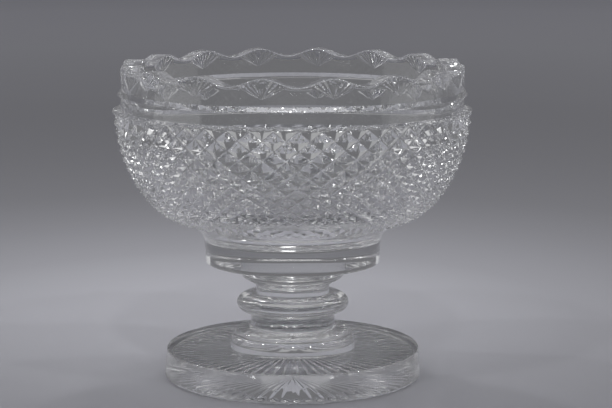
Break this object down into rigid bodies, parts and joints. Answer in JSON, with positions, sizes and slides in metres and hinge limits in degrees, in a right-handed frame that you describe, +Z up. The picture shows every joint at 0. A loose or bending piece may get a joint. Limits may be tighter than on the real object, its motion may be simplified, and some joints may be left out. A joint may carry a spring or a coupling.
{
  "type": "footed crystal bowl",
  "caption": "Heavy cut-crystal footed bowl: diamond-cut belly, plain band, scalloped rim with fan cuts, knopped stem and round star-cut foot.",
  "frame": {"origin": "middle of the ring of foot that the bowl rests on, on the table's surface", "axes": "+Z up along the axis that every piece is turned about; -Y faces the camera of the picture, with a dip of the scalloped rim on it; +X to its right"},
  "size_m": [0.2, 0.2, 0.1772],
  "materials": {
    "cut_crystal": "clear colourless lead crystal, wheel-cut mitres and facets polished bright, plain zones fire-polished",
    "polished_crystal": "clear colourless lead crystal, turned smooth and fire-polished"
  },
  "bodies": {
    "root": {"bowl": "cut_crystal", "collar": "polished_crystal", "upper_merese": "polished_crystal", "knop": "polished_crystal", "lower_merese": "polished_crystal", "foot": "cut_crystal"}
  },
  "joints": []
}
